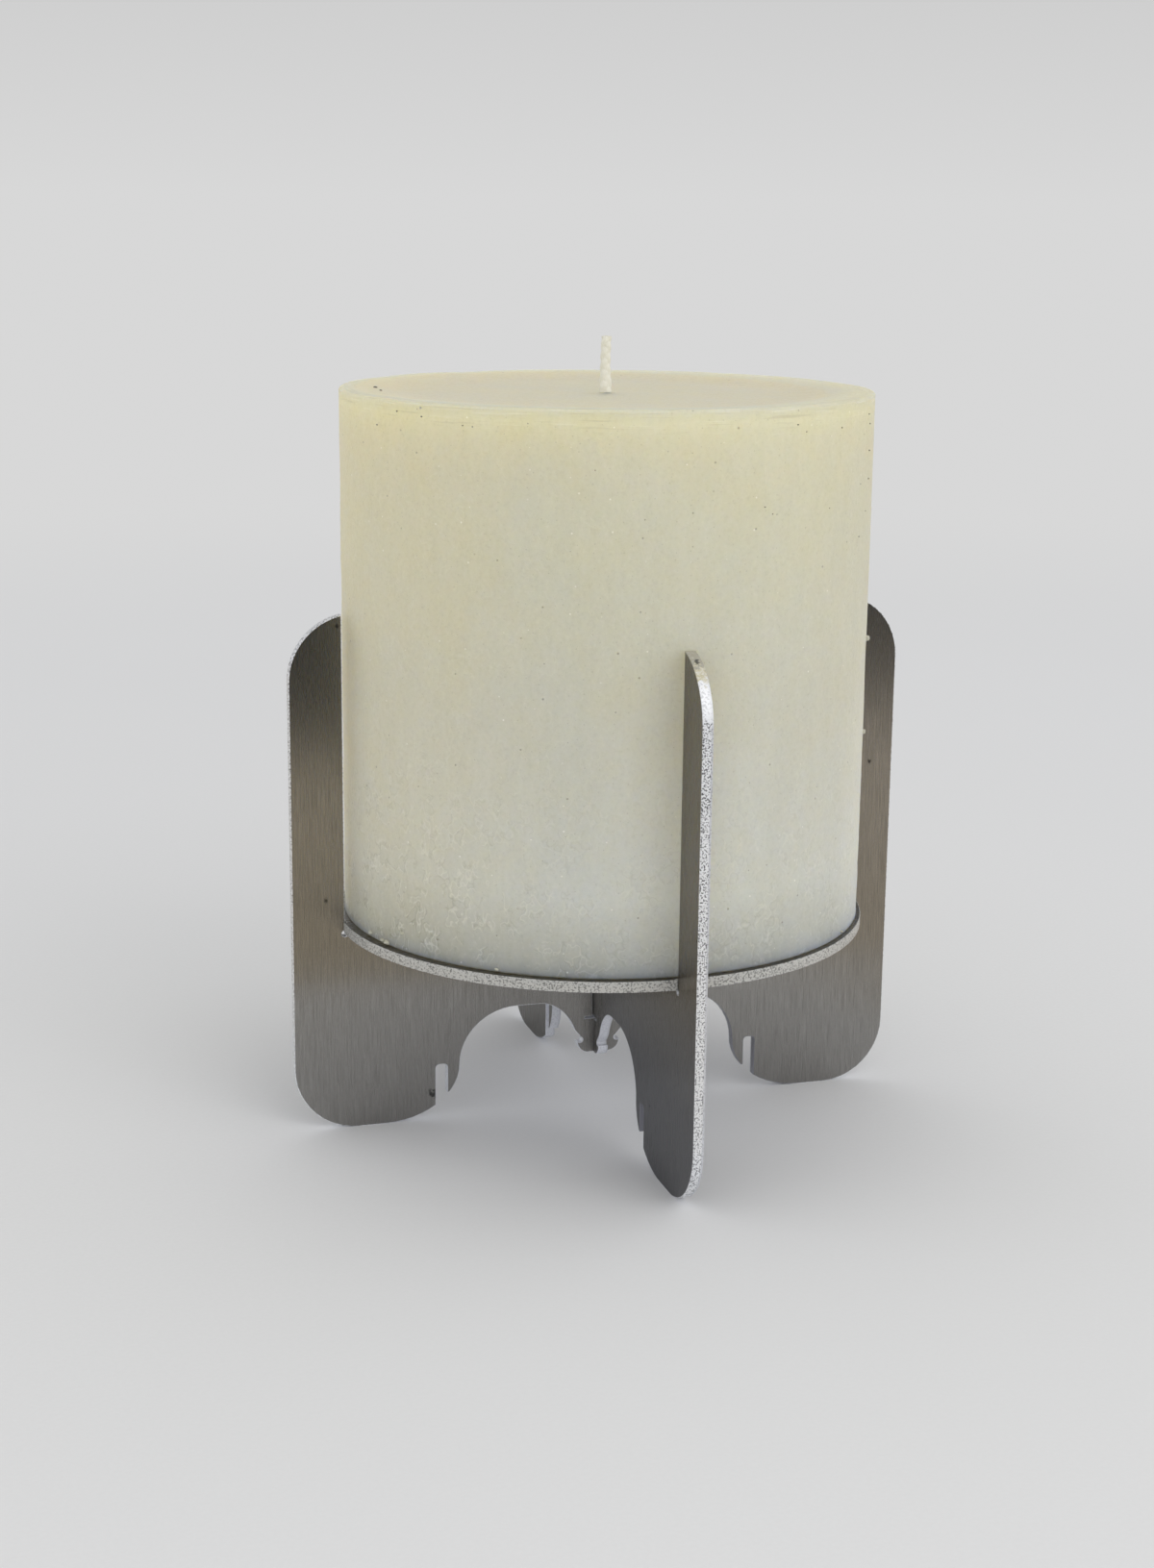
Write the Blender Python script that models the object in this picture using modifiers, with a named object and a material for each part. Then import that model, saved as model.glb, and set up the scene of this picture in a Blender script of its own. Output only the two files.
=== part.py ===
"""Flat-pack candlestick in sheet aluminium with a pillar candle.

Two upright plates of one outline cross at right angles in a half-lap. Each
plate has two arms, a beam, two feet and a hooked pendant. A notched disc lies
on the beams between the arms, and the candle stands on the disc. The origin
is on the floor, on the axis where the plates cross; +X runs along the lower
plate, +Y along the upper plate and +Z is up. All sizes are in metres.
"""

import math

import bpy

# Sheet and fits
SHEET = 0.0020
FIT_GAP = 0.0003

# Candle and wick
CANDLE_DIAMETER = 0.0998
CANDLE_HEIGHT = 0.0996
CANDLE_SHIFT_X = 0.0004
CANDLE_SHIFT_Y = 0.0002
CANDLE_FOOT_RADIUS = 0.0012
CANDLE_LIP_RADIUS = 0.0008
CANDLE_LIP_WIDTH = 0.0025
DISH_DEPTH = 0.0012
DISH_SLOPE_WIDTH = 0.0140
WICK_RADIUS = 0.0010
WICK_STAND = 0.0095
WICK_LEAN = 0.0006

# Arms and outer corners of a plate
CANDLE_CLEARANCE = 0.00085
ARM_WIDTH = 0.0100
PLATE_HEIGHT = 0.1006
PLATE_CORNER_RADIUS = 0.0125
BEAM_TOP = 0.0391
CORNER_RELIEF_RADIUS = 0.0006

# Foot, with a slot that is open at the bottom and leaves a spike on its inner side
FOOT_WIDTH = 0.0325
FOOT_FLAT = 0.0052
FOOT_SLOT_WIDTH = 0.0023
FOOT_SLOT_TOP = 0.0111
FOOT_SLOT_RADIUS = 0.0007
SPIKE_WIDTH = 0.0025
SPIKE_TIP = 0.0004

# Pendant under the beam, with a round bite above the horn at each side
PENDANT_WIDTH = 0.0086
PENDANT_BOTTOM = 0.0109
PENDANT_CORNER_RADIUS = 0.0023
BITE_RADIUS = 0.00055
BITE_INSET = 0.00055
BITE_RISE = 0.0027
SHOULDER_RISE = 0.0020

# Arch between foot and pendant
ARCH_TOP = 0.0218
ARCH_SPRING = 0.0108
ARCH_INNER_REACH = 0.0082
ARCH_OUTER_REACH = 0.01165
ARCH_INSET = 0.0003

# Half-lap, with relief cuts at the end of its slot
LAP_HEIGHT = 0.0181
LAP_RELIEF_REACH = 0.0015
LAP_RELIEF_HEIGHT = 0.0004

# Disc
DISC_OVERHANG = 0.00025

# Steps along round outlines
ARC_STEP_DEG = 7.5
SMALL_ARC_STEP_DEG = 30.0
DISC_STEP_DEG = 3.0
TURN_STEPS = 96
DISH_STEPS = 6
WICK_STEPS = 6

# Sizes that follow from the driving dimensions
CANDLE_RADIUS = CANDLE_DIAMETER / 2
ARM_INNER = CANDLE_RADIUS + CANDLE_CLEARANCE
PLATE_HALF = ARM_INNER + ARM_WIDTH
FOOT_INNER = PLATE_HALF - FOOT_WIDTH
FOOT_FLAT_OUTER = PLATE_HALF - PLATE_CORNER_RADIUS
FOOT_FLAT_INNER = FOOT_FLAT_OUTER - FOOT_FLAT
PENDANT_HALF = PENDANT_WIDTH / 2
SLOT_HALF = SHEET / 2 + FIT_GAP
DISC_RADIUS = ARM_INNER + DISC_OVERHANG
DISC_BOTTOM = BEAM_TOP + FIT_GAP
CANDLE_BOTTOM = DISC_BOTTOM + SHEET + FIT_GAP
CANDLE_TOP = CANDLE_BOTTOM + CANDLE_HEIGHT


def remove_startup_objects():
    """Empty the scene, whatever it holds."""
    for item in list(bpy.data.objects):
        bpy.data.objects.remove(item, do_unlink=True)


def make_collection(name):
    """A new collection in the scene for the finished pieces."""
    collection = bpy.data.collections.new(name)
    bpy.context.scene.collection.children.link(collection)
    return collection


def make_material(name, colour, roughness, metallic):
    """A Principled BSDF material with one colour."""
    material = bpy.data.materials.new(name)
    material.use_nodes = True
    shader = material.node_tree.nodes["Principled BSDF"]
    shader.inputs["Base Color"].default_value = (*colour, 1.0)
    shader.inputs["Roughness"].default_value = roughness
    shader.inputs["Metallic"].default_value = metallic
    return material


def arc(centre, reach_u, reach_z, start, end, step=ARC_STEP_DEG):
    """Points on an ellipse's arc between two angles in degrees, both ends included."""
    count = max(2, math.ceil(abs(end - start) / step))
    points = []
    for index in range(count + 1):
        angle = math.radians(start + (end - start) * index / count)
        u = centre[0] + reach_u * math.cos(angle)
        z = centre[1] + reach_z * math.sin(angle)
        points.append((u, z))
    return points


def without_repeats(points):
    """The points with each one dropped that falls on the one before it."""
    kept = points[:1]
    for point in points[1:]:
        if math.dist(point, kept[-1]) > FIT_GAP / 100:
            kept.append(point)
    return kept


def pendant_side():
    """From the pendant's flat bottom round its corner to the horn, then round the bite."""
    radius = PENDANT_CORNER_RADIUS
    corner = (PENDANT_HALF - radius, PENDANT_BOTTOM + radius)
    bite = (PENDANT_HALF - BITE_INSET, PENDANT_BOTTOM + BITE_RISE)
    points = arc(corner, radius, radius, -90, 0)
    points += arc(bite, BITE_RADIUS, BITE_RADIUS, 290, 110, SMALL_ARC_STEP_DEG)
    return points


def arch_side():
    """From the pendant's shoulder over the arch to the foot, as two quarter ellipses and a flat.

    The quarters are the arch's fillets, so the width between its walls limits them together.
    """
    rise = ARCH_TOP - ARCH_SPRING
    shoulder = PENDANT_BOTTOM + BITE_RISE + SHOULDER_RISE
    wall = PENDANT_HALF - ARCH_INSET
    limit = min(1.0, (FOOT_INNER - wall) / (ARCH_INNER_REACH + ARCH_OUTER_REACH))
    inner = ARCH_INNER_REACH * limit
    outer = ARCH_OUTER_REACH * limit
    start = 180 - math.degrees(math.asin((shoulder - ARCH_SPRING) / rise))
    points = arc((wall + inner, ARCH_SPRING), inner, rise, start, 90)
    points += arc((FOOT_INNER - outer, ARCH_SPRING), outer, rise, 90, 0)
    return points


def foot_side():
    """From the foot's inner side round its lobe to the floor, broken by the slot beside the spike."""
    centre = (FOOT_FLAT_INNER, ARCH_SPRING)
    reach = FOOT_FLAT_INNER - FOOT_INNER
    slot_near = FOOT_INNER + SPIKE_WIDTH
    slot_far = slot_near + FOOT_SLOT_WIDTH
    radius = FOOT_SLOT_RADIUS
    slot_end = FOOT_SLOT_TOP - radius

    def lobe_angle(u):
        return 360 - math.degrees(math.acos((u - FOOT_FLAT_INNER) / reach))

    points = arc(centre, reach, ARCH_SPRING, 180, lobe_angle(slot_near - SPIKE_TIP))
    points.append((slot_near, points[-1][1]))
    points += arc((slot_near + radius, slot_end), radius, radius, 180, 90, SMALL_ARC_STEP_DEG)
    points += arc((slot_far - radius, slot_end), radius, radius, 90, 0, SMALL_ARC_STEP_DEG)
    points += arc(centre, reach, ARCH_SPRING, lobe_angle(slot_far), 270)
    return points


def arm_side():
    """From the floor round the outer corners to the arm's tip, then down to the relieved corner."""
    radius = PLATE_CORNER_RADIUS
    low = (FOOT_FLAT_OUTER, radius)
    high = (FOOT_FLAT_OUTER, PLATE_HEIGHT - radius)
    tip = math.degrees(math.acos(max(ARM_INNER - FOOT_FLAT_OUTER, 0.0) / radius))
    points = arc(low, radius, radius, -90, 0)
    points += arc(high, radius, radius, 0, tip)
    points.append((ARM_INNER, points[-1][1]))
    relief = CORNER_RELIEF_RADIUS
    points += arc((ARM_INNER, BEAM_TOP), relief, relief, 90, -180, SMALL_ARC_STEP_DEG)
    return points


def lap_side(mouth, end):
    """Half of the half-lap slot from its mouth to its end, with the relief cut at the end."""
    relief = end + math.copysign(LAP_RELIEF_HEIGHT, mouth - end)
    reach = SLOT_HALF + LAP_RELIEF_REACH
    return [(SLOT_HALF, mouth), (SLOT_HALF, relief), (reach, relief), (reach, end)]


def plate_outline(slot_opens_up):
    """The closed outline of a plate, as its right half and the mirror image of that half."""
    half = pendant_side() + arch_side() + foot_side() + arm_side()
    if slot_opens_up:
        half = half + lap_side(BEAM_TOP, LAP_HEIGHT - FIT_GAP / 2)
    else:
        half = lap_side(PENDANT_BOTTOM, LAP_HEIGHT + FIT_GAP / 2)[::-1] + half
    half = without_repeats(half)
    return half + [(-u, z) for u, z in reversed(half)]


def disc_outline():
    """The disc's circle, notched where it meets each arm."""
    floor = ARM_INNER - FIT_GAP
    start = math.degrees(math.asin(SLOT_HALF / DISC_RADIUS))
    quarter = [(floor, SLOT_HALF)]
    quarter += arc((0.0, 0.0), DISC_RADIUS, DISC_RADIUS, start, 90 - start, DISC_STEP_DEG)
    quarter.append((SLOT_HALF, floor))
    points = []
    for turn in range(4):
        points += quarter
        quarter = [(-y, x) for x, y in quarter]
    return points


def add_sheet(name, outline, material, collection):
    """A flat piece of sheet from a closed outline, centred on its own plane."""
    curve = bpy.data.curves.new(name, "CURVE")
    curve.dimensions = "2D"
    curve.fill_mode = "BOTH"
    curve.extrude = SHEET / 2
    spline = curve.splines.new("POLY")
    spline.points.add(len(outline) - 1)
    for point, (u, v) in zip(spline.points, outline):
        point.co = (u, v, 0.0, 1.0)
    spline.use_cyclic_u = True
    curve.materials.append(material)
    piece = bpy.data.objects.new(name, curve)
    collection.objects.link(piece)
    return piece


def candle_profile():
    """The candle's half section, down its outer side, in to the wick's bore and back over the dish."""
    foot = (CANDLE_RADIUS - CANDLE_FOOT_RADIUS, CANDLE_BOTTOM + CANDLE_FOOT_RADIUS)
    lip = (CANDLE_RADIUS - CANDLE_LIP_RADIUS, CANDLE_TOP - CANDLE_LIP_RADIUS)
    bore = WICK_RADIUS + FIT_GAP
    points = arc(lip, CANDLE_LIP_RADIUS, CANDLE_LIP_RADIUS, 90, 0, SMALL_ARC_STEP_DEG)
    points += arc(foot, CANDLE_FOOT_RADIUS, CANDLE_FOOT_RADIUS, 0, -90, SMALL_ARC_STEP_DEG)
    points += [(bore, CANDLE_BOTTOM), (bore, CANDLE_TOP - DISH_DEPTH)]
    edge = CANDLE_RADIUS - CANDLE_LIP_WIDTH
    for step in range(DISH_STEPS + 1):
        share = step / DISH_STEPS
        drop = DISH_DEPTH * (1 + math.cos(math.pi * share)) / 2
        points.append((edge - DISH_SLOPE_WIDTH * (1 - share), CANDLE_TOP - drop))
    return points


def add_candle(material, collection):
    """The candle as its half section turned about the upright axis."""
    profile = candle_profile()
    mesh = bpy.data.meshes.new("candle")
    edges = [(index, (index + 1) % len(profile)) for index in range(len(profile))]
    mesh.from_pydata([(r, 0.0, z) for r, z in profile], edges, [])
    mesh.materials.append(material)
    piece = bpy.data.objects.new("candle", mesh)
    collection.objects.link(piece)
    turn = piece.modifiers.new("Turn", "SCREW")
    turn.axis = "Z"
    turn.angle = 2 * math.pi
    turn.steps = TURN_STEPS
    turn.render_steps = TURN_STEPS
    turn.use_merge_vertices = True
    turn.merge_threshold = FIT_GAP / 100
    turn.use_smooth_shade = True
    piece.location = (CANDLE_SHIFT_X, CANDLE_SHIFT_Y, 0.0)
    return piece


def add_wick(candle, material, collection):
    """The wick, straight through the candle and leaning a little above it."""
    low = CANDLE_BOTTOM + FIT_GAP
    points = [(0.0, low), (0.0, CANDLE_TOP - DISH_DEPTH)]
    for step in range(1, WICK_STEPS + 1):
        share = step / WICK_STEPS
        rise = (DISH_DEPTH + WICK_STAND) * share
        points.append((-WICK_LEAN * share**2, CANDLE_TOP - DISH_DEPTH + rise))
    curve = bpy.data.curves.new("wick", "CURVE")
    curve.dimensions = "3D"
    curve.bevel_depth = WICK_RADIUS
    curve.bevel_resolution = 3
    curve.use_fill_caps = True
    spline = curve.splines.new("POLY")
    spline.points.add(len(points) - 1)
    for point, (x, z) in zip(spline.points, points):
        point.co = (x, 0.0, z, 1.0)
    curve.materials.append(material)
    piece = bpy.data.objects.new("wick", curve)
    collection.objects.link(piece)
    piece.parent = candle
    return piece


def build():
    """Make every piece and set it in its place."""
    remove_startup_objects()
    collection = make_collection("candlestick")
    brushed = make_material("brushed aluminium", (0.46, 0.45, 0.43), 0.35, 1.0)
    satin = make_material("satin aluminium disc", (0.55, 0.54, 0.52), 0.30, 1.0)
    wax = make_material("ivory wax", (0.80, 0.77, 0.62), 0.55, 0.0)
    cotton = make_material("cotton wick", (0.86, 0.84, 0.76), 0.90, 0.0)

    upright = math.pi / 2
    lower_plate = add_sheet("lower_plate", plate_outline(True), brushed, collection)
    lower_plate.rotation_euler = (upright, 0.0, 0.0)
    upper_plate = add_sheet("upper_plate", plate_outline(False), brushed, collection)
    upper_plate.rotation_euler = (upright, 0.0, upright)
    disc = add_sheet("candle_disc", disc_outline(), satin, collection)
    disc.location = (0.0, 0.0, DISC_BOTTOM + SHEET / 2)
    candle = add_candle(wax, collection)
    add_wick(candle, cotton, collection)


build()
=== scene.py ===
"""Looks of a flat-pack candlestick: brushed sheet, cut edges, wax and cotton.

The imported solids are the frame. Each visible piece is a surface worked out
with numpy that stands where its solid stands. All sizes are in metres, +Z is
up, +X runs along the lower plate and +Y along the upper plate.
"""

import math

import bmesh
import bpy
import numpy as np
from mathutils import Matrix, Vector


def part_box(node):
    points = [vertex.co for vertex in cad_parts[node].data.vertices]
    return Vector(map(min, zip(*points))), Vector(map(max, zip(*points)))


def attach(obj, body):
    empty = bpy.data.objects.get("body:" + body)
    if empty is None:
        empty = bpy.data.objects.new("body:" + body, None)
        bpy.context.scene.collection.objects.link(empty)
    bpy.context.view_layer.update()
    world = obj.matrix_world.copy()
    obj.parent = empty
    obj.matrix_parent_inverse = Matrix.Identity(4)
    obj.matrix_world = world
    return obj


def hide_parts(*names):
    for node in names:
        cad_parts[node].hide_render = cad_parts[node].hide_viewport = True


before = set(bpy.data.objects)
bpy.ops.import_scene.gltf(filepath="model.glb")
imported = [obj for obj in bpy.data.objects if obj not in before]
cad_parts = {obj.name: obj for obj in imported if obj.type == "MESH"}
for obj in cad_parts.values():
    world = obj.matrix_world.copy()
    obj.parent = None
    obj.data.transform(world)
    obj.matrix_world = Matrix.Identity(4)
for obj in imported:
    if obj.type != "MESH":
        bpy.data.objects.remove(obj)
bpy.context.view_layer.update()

bl_info = {
    "name": "Flat-pack candlestick",
    "version": (1, 0, 0),
    "blender": (4, 5, 0),
    "location": "3D View > Sidebar > Candlestick",
    "description": "Dresses the solids of a sheet-metal candlestick with a pillar candle",
    "category": "Add Mesh",
}

X, Y, Z = 0, 1, 2
WELD = 1e-6
SHEET_MAP = "sheet"
SMOOTH_ANGLE = math.radians(40)
PHOTO_WIDTH, PHOTO_HEIGHT = 1200, 1631
SENSOR = 36.0
FLOOR_REACH = 12.0
FADE = (0.45, 1.00)
KEY_PLACE, KEY_AIM, KEY_WIDTH = (0.27, -0.75, 0.67), (0.0, 0.0, 0.07), 0.75
TABLE_LIFT, WALL_LEAN = 0.001, 0.004
EDGE_STEPS, CANDLE_COLUMNS, FLOOR_COLUMNS = 3, 360, 96
CRUMB_ROWS, CRUMB_COLUMNS, STRANDS, STRAND_COLUMNS = 9, 12, 3, 12
DENT_SEED, FLAKE_SEED, WEAR_SEED, CRUMB_SEED = 3, 4, 6, 8
# Two ranges that a noise between 0 and 1 mostly keeps to.
MOST, CORE = (0.3, 0.7), (0.35, 0.65)

CANDLE_LOW, CANDLE_HIGH = (np.array(corner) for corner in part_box("candle"))
WICK_LOW, WICK_HIGH = (np.array(corner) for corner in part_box("wick"))
DISC_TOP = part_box("candle_disc")[1][Z]
ARM_TIP = float(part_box("upper_plate")[1][Z])
CANDLE_AXIS = (CANDLE_LOW + CANDLE_HIGH)[:2] / 2
CANDLE_RADIUS = float(CANDLE_HIGH[X] - CANDLE_LOW[X]) / 2
DISH_SHIFT = (-0.0028, 0.0010, 0.0)
# Direction of the side that gets painted yellow light; the side across from it gets painted shade.
WARM_SIDE = (-0.954, 0.299, 0.0)

# Stains as (column, row, radius) in the plan of the lower plate, and across and up the front tip.
LOWER_STAINS = (
    (-0.0335, 0.0051, 0.00085),
    (-0.0544, 0.0459, 0.00048),
    (-0.0516, 0.0984, 0.00048),
    (0.0560, 0.0668, 0.00038),
)
TIP_STAINS = ((0.0001, ARM_TIP - 0.0014, 0.00034),)


def on_side(*rows):
    """Rows of (degrees, height, radius) as rows of add_crumbs that sit on the candle's side."""
    return [(degrees, CANDLE_RADIUS, height, radius) for degrees, height, radius in rows]


WAX_CRUMBS = on_side(
    (193.7, 0.0006, 0.0005), (199.2, 0.0003, 0.0005), (200.4, 0.0004, 0.0004),
    (201.0, 0.0002, 0.0006), (206.0, 0.0030, 0.0004), (212.6, 0.0986, 0.0003),
    (336.0, 0.0537, 0.0008), (336.0, 0.0357, 0.0007), (231.0, 0.0003, 0.0004),
    (318.0, 0.0004, 0.0004), (40.0, 0.0005, 0.0006), (112.0, 0.0004, 0.0004),
)
SOOT_SPECKS = [
    (167.0, 0.0435, 0.0993, 0.00042),
    (176.0, 0.0427, 0.0993, 0.00026),
    *on_side(
        (205.5, 0.0976, 0.00024), (198.6, 0.0948, 0.00024), (212.8, 0.0971, 0.00018),
        (237.2, 0.0970, 0.00018), (223.2, 0.0961, 0.00020), (225.4, 0.0960, 0.00018),
        (294.0, 0.0964, 0.00022), (296.6, 0.0950, 0.00020), (309.0, 0.0951, 0.00020),
        (326.3, 0.0947, 0.00022), (324.9, 0.0965, 0.00020), (321.3, 0.0931, 0.00020),
        (326.4, 0.0898, 0.00020), (326.5, 0.0847, 0.00022), (319.8, 0.0843, 0.00018),
        (324.7, 0.0789, 0.00020), (319.8, 0.0748, 0.00020), (318.7, 0.0737, 0.00018),
        (305.1, 0.0812, 0.00018), (297.2, 0.0784, 0.00016), (288.0, 0.0813, 0.00016),
        (286.0, 0.0826, 0.00016), (72.0, 0.0940, 0.00022), (141.0, 0.0962, 0.00020),
    ),
]


def length(name, description, default):
    """A size in metres that a user may change."""
    return bpy.props.FloatProperty(
        name=name, description=description, default=default, unit="LENGTH", precision=5
    )


def share(name, description, default):
    """A plain number that a user may change."""
    return bpy.props.FloatProperty(name=name, description=description, default=default)


def colour(name, description, default):
    """A linear colour that a user may change."""
    return bpy.props.FloatVectorProperty(
        name=name, description=description, default=default, subtype="COLOR", size=3, min=0, max=1
    )


def light(name, description, default):
    """A linear tint or strength of light in three colours that a user may change."""
    return bpy.props.FloatVectorProperty(
        name=name, description=description, default=default, size=3, min=0
    )


class SheetSettings(bpy.types.PropertyGroup):
    """Finish of the sheet pieces."""

    edge_round: length("Edge round", "Radius left on the rim of each cut edge", 0.00012)
    line_width: length("Line width", "Width of the finest brush lines", 0.00020)
    line_run: length("Line run", "Length of the brush lines", 0.007)
    band_width: length("Band width", "Width of the broader brushed bands", 0.0016)
    grain: length("Cut grain", "Size of the bright grains on a cut edge", 0.00033)
    face_dark: colour("Face, dark", "Colour in the brush lines", (0.292, 0.284, 0.271))
    face_light: colour("Face, light", "Colour between the brush lines", (0.386, 0.377, 0.363))
    face_speck: colour("Face, specks", "Colour of the few specks on the faces", (0.05, 0.05, 0.05))
    # Painted shade: the upper plate's front foot is darkened where it reflects the shaded floor.
    tint_painted_foot_shade: light("Painted foot shade", "Tint of the upper plate's front foot", (0.74, 0.76, 0.82))
    edge_dark: colour("Edge, dark", "Colour in the pits of a cut edge", (0.10, 0.10, 0.11))
    # Also the colour of the painted highlight on the front tip.
    edge_grain_and_highlight: colour("Edge, light", "Colour of the bright grains and of the painted highlight", (0.88, 0.89, 0.91))
    edge_hole: colour("Edge, holes", "Colour of the few deep holes", (0.06, 0.06, 0.06))
    # Painted light on the low part of the plates' cut edges.
    edge_painted_light: colour("Edge, low down", "Painted light that lifts the low part of the edge", (0.66, 0.67, 0.69))
    # Painted shade in the slots of two feet.
    edge_painted_slot_shade: colour("Edge, slots", "Colour in the slots of two feet", (0.25, 0.25, 0.28))
    edge_inner: colour("Edge, inner", "Colour of the smoother inner edges", (0.70, 0.71, 0.76))
    edge_sheared: colour("Edge, sheared", "Colour of the smooth part of an edge", (0.56, 0.57, 0.61))
    shear_from: length("Sheared from", "From the sheet's middle to its sheared part", 0.00055)
    rim_dark: colour("Disc rim, dark", "Colour in the pits of the disc's rim", (0.24, 0.24, 0.23))
    rim_light: colour("Disc rim, light", "Colour of the disc's bright grains", (0.57, 0.57, 0.55))
    smear: colour("Wax smear", "Colour of the film of wax on the front tip", (0.60, 0.545, 0.34))
    smear_run: length("Wax smear run", "How far the film of wax reaches down the tip", 0.0045)
    worn_tip: colour("Worn tip", "Colour of the bare end of the front tip", (0.34, 0.325, 0.30))
    worn_run: length("Worn tip run", "How far the bare end reaches down the tip", 0.0024)
    # Painted highlight on the front tip, below the film of wax.
    painted_highlight_run: length("Painted highlight run", "How far the painted highlight reaches below the film", 0.0062)


class CandleSettings(bpy.types.PropertyGroup):
    """Shape and wax of the candle."""

    dish_depth: length("Dish depth", "How far the top sinks towards the wick", 0.0012)
    dish_slope: length("Dish slope", "Width of the slope into the dish", 0.0140)
    lip_width: length("Lip width", "Width of the flat lip round the dish", 0.0025)
    lip_round: length("Lip round", "Radius on the top edge", 0.0005)
    foot_round: length("Foot round", "Radius on the bottom edge", 0.00045)
    foot_gap: length("Foot gap", "Between the bottom edge and the disc", 0.00003)
    bore: length("Bore", "Radius of the wick's bore at the top", 0.0005)
    wear: length("Wear", "How unevenly the top edge is worn down", 0.00007)
    dent: length("Dent depth", "Depth of the soft dents in the side", 0.00005)
    flake: length("Flake depth", "Depth of the flaking near the foot", 0.00006)
    meniscus: length("Meniscus", "How far the wax climbs the wick", 0.0006)
    # Painted shade at the candle's foot: how far up it reaches, and its colour below.
    painted_shade_run: length("Painted shade run", "How far the darker foot reaches up", 0.0140)
    wax_top: colour("Wax, top", "Colour at the top of the candle", (0.638, 0.612, 0.432))
    wax_middle: colour("Wax, middle", "Colour half-way down", (0.560, 0.548, 0.448))
    wax_foot: colour("Wax, foot", "Colour at the foot", (0.565, 0.575, 0.530))
    wax_painted_shade: colour("Wax, painted shade", "Colour where the candle stands", (0.385, 0.378, 0.320))
    # Painted yellow light on one side, painted shade on the side across, and painted light beside the
    # arms.
    tint_painted_warm_light: light("Warm side", "Painted yellow light on one side", (1.10, 1.05, 0.93))
    tint_painted_side_shade: light("Other side", "Painted shade on the side across from it", (0.965, 0.95, 0.91))
    tint_painted_light_by_arms: light("Painted light by arms", "Painted light that lifts the shade of the arms", (1.13, 1.13, 1.14))
    tint_yellowed: light("Yellowed", "Tint of the yellowed patches", (1.005, 0.995, 0.955))
    tint_bloom: light("Bloom", "Tint of the patches with a pale bloom", (0.99, 1.00, 1.03))
    tint_top: light("Top face", "Tint of the top inside its rim", (1.03, 1.05, 1.12))
    tint_dish: light("Dish", "Tint of the sunken middle of the top", (1.035, 0.985, 0.91))
    tint_rim: light("Rim", "Tint of the worn rim", (0.86, 0.86, 0.86))
    tint_grain: light("Grain", "Tint of the fine dark grain", (0.78, 0.77, 0.73))
    frost: colour("Frost", "Colour of the frosted flakes", (0.820, 0.800, 0.700))
    chip: colour("Chips", "Colour of the few white chips", (0.90, 0.88, 0.80))
    speck: colour("Specks", "Colour of the dark specks", (0.23, 0.20, 0.15))
    crumb: colour("Crumbs", "Colour of the crumbs of wax", (0.42, 0.41, 0.33))
    soot: colour("Soot", "Colour of the specks of soot", (0.09, 0.08, 0.06))


class WickSettings(bpy.types.PropertyGroup):
    """The braided wick."""

    strand: length("Strand", "Radius of one of the three strands", 0.00073)
    tip: length("Tip", "How far the cut end of a strand is domed", 0.0002)
    sway: length("Sway", "How far a strand swings to each side", 0.00025)
    depth: length("Depth", "How far a strand swings front to back", 0.00015)
    pitch: length("Pitch", "Length of one turn of the braid", 0.0062)
    bow: length("Bow", "Sideways bow half-way up", 0.0003)
    lean: length("Lean", "How much further the tip leans to the right", 0.0004)
    root: length("Root", "How deep in the wax the lean and bow begin", 0.004)
    spread: share("Spread", "How much wider the strands leave the wax", 0.30)
    spread_run: length("Spread run", "How far up and down they are wider", 0.003)
    cotton: colour("Cotton", "Colour of the dry strands", (0.80, 0.78, 0.69))
    waxed: colour("Waxed cotton", "Colour in the grooves", (0.74, 0.72, 0.62))


class StageSettings(bpy.types.PropertyGroup):
    """Camera, lamp, floor, backdrop and what the sheet reflects."""

    focal: share("Focal length", "In pixels of a frame 1631 pixels high", 2568.63)
    azimuth: share("Azimuth", "Degrees round from the front, to the right", -17.4101)
    elevation: share("Elevation", "Degrees above the horizon", 13.9580)
    distance: length("Distance", "From the camera to its aim", 0.48001)
    roll: share("Roll", "Turn about the camera's axis, in degrees", 0.7426)
    aim_height: length("Aim height", "Height of the aim, on the plates' axis", 0.0600)
    aim_column: share("Aim column", "Pixel column on which the aim falls", 623.597)
    aim_row: share("Aim row", "Pixel row on which the aim falls", 842.510)
    floor: colour("Floor", "Colour of the floor", (0.820, 0.825, 0.835))
    backdrop: colour("Backdrop", "Pale tone where the floor ends", (0.685, 0.685, 0.685))
    backdrop_high: colour("Backdrop, high", "Pale tone further up", (0.605, 0.605, 0.605))
    table: colour("Table", "Colour of the table that the sheet reflects", (0.62, 0.55, 0.43))
    table_right: colour("Table, right", "Colour of that table to the right", (0.71, 0.645, 0.56))
    room: colour("Room", "Colour of the room that the sheet reflects", (0.055, 0.055, 0.052))
    room_right: colour("Room, right", "Colour of that room to the right", (0.070, 0.070, 0.068))
    room_height: length("Room height", "Height of the dark wall that is the room", 0.12)
    paper_reach: length("Paper reach", "From the middle to the paper's edge in reflections", 0.086)
    table_reach: length("Table reach", "From the middle to the table's far edges", 0.9)
    table_front: length("Table front", "From the middle to the table's front edge", 0.325)
    table_slant: share("Table slant", "How far the front edge drifts away to the right", 0.20)
    sky_high: light("Sky, high", "Light from straight above", (0.40, 0.38, 0.33))
    sky_low: light("Sky, low", "Light from the horizon", (1.52, 1.56, 1.66))
    key_tint: colour("Key light", "Tint of the key light", (1.0, 0.98, 0.95))
    key_power: share("Key power", "Power of the key light in watts", 1.9)


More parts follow.
